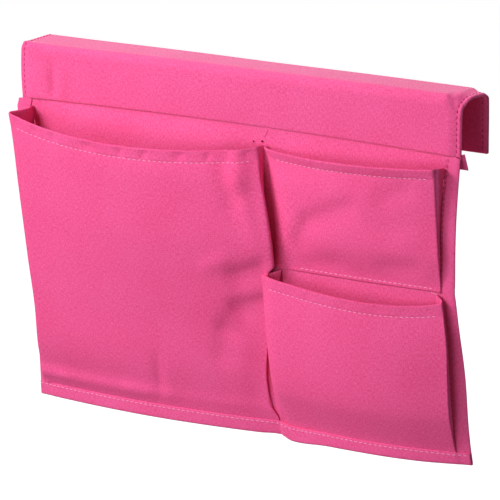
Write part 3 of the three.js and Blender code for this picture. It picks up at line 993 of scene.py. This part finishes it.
def binding_section(place):
    """(depth, height) along the cloth, from its turned edge in front round the foot to that behind."""
    half = LAYER / 2
    front = float(binding_depth(place))
    back = BINDING_BACK
    middle = (front + back) / 2
    drop = float(binding_drop(place))
    raised = BINDING_RISE * step(place, 40, 110) + BINDING_END_RISE * step(place, 150, HALF_PANEL)
    foot = PANEL_BOTTOM + float(raised) - drop * BINDING_FOOT_SAGS
    head = BINDING_TOP - BINDING_HEAD_SAGS * drop
    turn = np.linspace(0, np.pi, 7)
    low = np.linspace(-np.pi / 2, np.pi / 2, 9)
    edge = [(front - LAYER, head - below) for below in (5, 3, 1)]
    edge += [(front - half - half * math.cos(a), head - half + half * math.sin(a)) for a in turn]
    edge += [(front, z) for z in np.linspace(head - 1.2, foot + 2, 6)]
    edge += [(middle - (front - back) / 2 * math.sin(a), foot + 0.6 - 2.0 * math.cos(a)) for a in low]
    edge += [(back, z) for z in np.linspace(foot + 2, head - 1.2, 6)]
    edge += [(back + half - half * math.cos(a), head - half + half * math.sin(a)) for a in turn]
    edge += [(back + LAYER, head - below) for below in (3, 5)]
    return np.array(edge)


def build_binding():
    x = np.r_[
        np.linspace(-HALF_PANEL, -176, 18), np.linspace(-176, 18, 70)[1:], np.linspace(18, 48, 40)[1:],
        np.linspace(48, 176, 46)[1:], np.linspace(176, HALF_PANEL, 18)[1:]]
    rows = []
    for place in x:
        edge = binding_section(place)
        rows.append(on_panel(place, edge[:, 0], edge[:, 1]))
    grid = np.array(rows).transpose(1, 0, 2)
    binding = cloth("bottom_binding_cloth", grid, PINK)
    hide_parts("bottom_binding")
    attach(binding, "panel")
    # Stitch rows in the pale thread, with its painted highlight
    head = BINDING_TOP - BINDING_STITCH - binding_drop(x) * BINDING_HEAD_SAGS
    line = on_panel(x, binding_depth(x) + CLOTH / 2, head)
    out = np.tile([0.0, -1.0, 0.0], (len(x), 1))
    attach(stitches("binding_front_stitches", line, out, THREAD), "panel")
    rear = on_panel(x, BINDING_BACK - CLOTH / 2, head)
    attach(stitches("binding_back_stitches", rear, -out, THREAD), "panel")


def build_seam_flap():
    """Loose seam allowance behind the panel, under the hanger's front wall."""
    x = np.linspace(-HALF_HANGER, HALF_HANGER, 100)
    x = x + right_pull(x)
    share = np.linspace(0, 1, 9)[:, None]
    wave = FLAP_WAVE * ripple(x, x * 0.2, 17, 0.9)
    lift = FLAP_LIFT * step(x, 190, 196) * (1 - share)
    y = PANEL_Y + FLAP_BACK + FLAP_DROP * share * math.sin(FLAP_ANGLE) + wave * share
    z = -FRONT_DROP - FLAP_LOW - FLAP_DROP * share * math.cos(FLAP_ANGLE) + lift
    grid = np.stack(np.broadcast_arrays(x[None], y, z), -1)
    flap = cloth("seam_flap_cloth", grid[::-1], PINK)
    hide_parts("hanger_seam_flap")
    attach(flap, "hanger")


def build_hem_stitches():
    """Rows through the panel's side hems, seen on both of its faces, in thread darkened with painted
    shade.
    """
    z = np.linspace(PANEL_TOP - 1, BINDING_TOP - 1, 120)
    for side, sign in (("left", -1), ("right", 1)):
        for number, inset in enumerate(HEM_STITCHES[side]):
            for face, depth, out in (("front", CLOTH / 2, -1.0), ("back", -LAYER - CLOTH / 2, 1.0)):
                place = sign * (OUTER_SEAM + inset)
                row = stitches(f"{side}_hem_{face}_stitches_{number + 1}", on_panel(place, depth, z),
                               np.tile([0.0, out, 0.0], (len(z), 1)), THREAD_PAINTED_SHADE)
                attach(row, "panel")


def build_sewn_marks():
    """Short rows at the left hem's top and the centre, and the tacks where the pockets meet and end. All
    but the lower pocket's tack are in thread darkened as painted shade.
    """
    # Start and end (sideways, height), thread and thickness
    marks = {
        "left_hem_top_stitches": ((-184.6, -41.6), (-185.4, -51.0), SHADED_THREAD, 0.8),
        "centre_seam_stitches": ((27.6, -40.6), (24.9, -47.8), THREAD_PAINTED_SHADE, 0.5),
        # The pinch tacks, in the darkest thread, paint the shade of the gaps where the mouths' corners
        # meet the panel
        "left_pinch_tack_painted_shade": ((14.6, -50.6), (17.2, -51.6), SHADED_THREAD, 1.4),
        "right_pinch_tack_painted_shade": ((22.6, -49.2), (24.6, -51.6), SHADED_THREAD, 1.8),
        "lower_pocket_tack": ((175.0, -148.6), (183.0, -150.3), THREAD, 0.7),
    }
    for name, (start, end, material, thick) in marks.items():
        run = np.linspace(0, 1, 20)
        x = start[0] + (end[0] - start[0]) * run
        z = start[1] + (end[1] - start[1]) * run
        line = on_panel(x, CLOTH / 2 + 0.1, z)
        out = np.tile([0.0, -1.0, 0.0], (len(run), 1))
        row = stitches(name, line, out, material,
                       pitch=TACK_PITCH, length=TACK_LENGTH, thick=thick)
        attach(row, "panel")


build_hanger()
build_panel()
build_binding()
build_seam_flap()
build_hem_stitches()
build_sewn_marks()
for number, name in enumerate(POCKETS):
    build_pocket(name, 1.7 * number)


# Camera, lamps and stage

def build_camera():
    level = math.cos(ELEVATION)
    back = Vector((math.sin(AZIMUTH) * level, -math.cos(AZIMUTH) * level, math.sin(ELEVATION)))
    right = Vector((math.cos(AZIMUTH), math.sin(AZIMUTH), 0))
    up = back.cross(right)
    data = bpy.data.cameras.new("camera")
    data.sensor_width = SENSOR
    data.lens = FOCAL / PICTURE * SENSOR
    data.shift_x = (PICTURE / 2 - CENTRE[0]) / PICTURE
    data.shift_y = (CENTRE[1] - PICTURE / 2) / PICTURE
    data.clip_end = 50
    camera = bpy.data.objects.new("camera", data)
    bpy.context.scene.collection.objects.link(camera)
    turned = Matrix((right, up, back)).transposed().to_4x4()
    camera.matrix_world = Matrix.Translation(TARGET + back * DISTANCE) @ turned
    bpy.context.scene.camera = camera


def build_lamp(name, place, size, power):
    data = bpy.data.lights.new(name, "AREA")
    data.shape = "DISK"
    data.size = size
    data.energy = power
    lamp = bpy.data.objects.new(name, data)
    lamp.location = Vector(place)
    lamp.rotation_euler = (TARGET - lamp.location).to_track_quat("-Z", "Y").to_euler()
    bpy.context.scene.collection.objects.link(lamp)


def looked_at(tree):
    """1 for rays by which a background is seen: straight, in gloss or through a clear body."""
    ray = tree.nodes.new("ShaderNodeLightPath")
    seen = ray.outputs["Is Camera Ray"]
    for other in ("Is Glossy Ray", "Is Transmission Ray"):
        most = tree.nodes.new("ShaderNodeMath")
        most.operation = "MAXIMUM"
        tree.links.new(seen, most.inputs[0])
        tree.links.new(ray.outputs[other], most.inputs[1])
        seen = most.outputs[0]
    return seen


def build_floor():
    """Floor that looks white and gives back little light."""
    mesh = bpy.data.meshes.new("floor")
    corners = ((-1, -1), (1, -1), (1, 1), (-1, 1))
    points = [(x * FLOOR_REACH, y * FLOOR_REACH, FLOOR_HEIGHT) for x, y in corners]
    mesh.from_pydata(points, [], [(0, 1, 2, 3)])
    floor = bpy.data.objects.new("floor", mesh)
    bpy.context.scene.collection.objects.link(floor)
    n = Nodes("pale_floor")
    n.set({"Base Color": (FLOOR_GREY, FLOOR_GREY, FLOOR_GREY, 1), "Emission Color": (1, 1, 1, 1)})
    n.set({"Roughness": 0.9, "Specular IOR Level": 0.0})
    n.join(n.math("MULTIPLY", looked_at(n.tree), FLOOR_SHOWN), n.shader.inputs["Emission Strength"])
    mesh.materials.append(n.material)


def build_world():
    """White world: bright where it is seen, and dim as a light."""
    world = bpy.data.worlds.new("studio")
    bpy.context.scene.world = world
    world.use_nodes = True
    tree = world.node_tree
    plain = tree.nodes["Background"]
    white = tree.nodes.new("ShaderNodeBackground")
    for node, strength in ((plain, WORLD_LIGHT), (white, 1.0)):
        node.inputs["Color"].default_value = (1, 1, 1, 1)
        node.inputs["Strength"].default_value = strength
    pick = tree.nodes.new("ShaderNodeMixShader")
    tree.links.new(looked_at(tree), pick.inputs[0])
    tree.links.new(plain.outputs[0], pick.inputs[1])
    tree.links.new(white.outputs[0], pick.inputs[2])
    tree.links.new(pick.outputs[0], tree.nodes["World Output"].inputs["Surface"])


build_camera()
build_floor()
build_world()
for name, lamp in LAMPS.items():
    build_lamp(name, *lamp)
bpy.context.scene.view_settings.view_transform = "Standard"
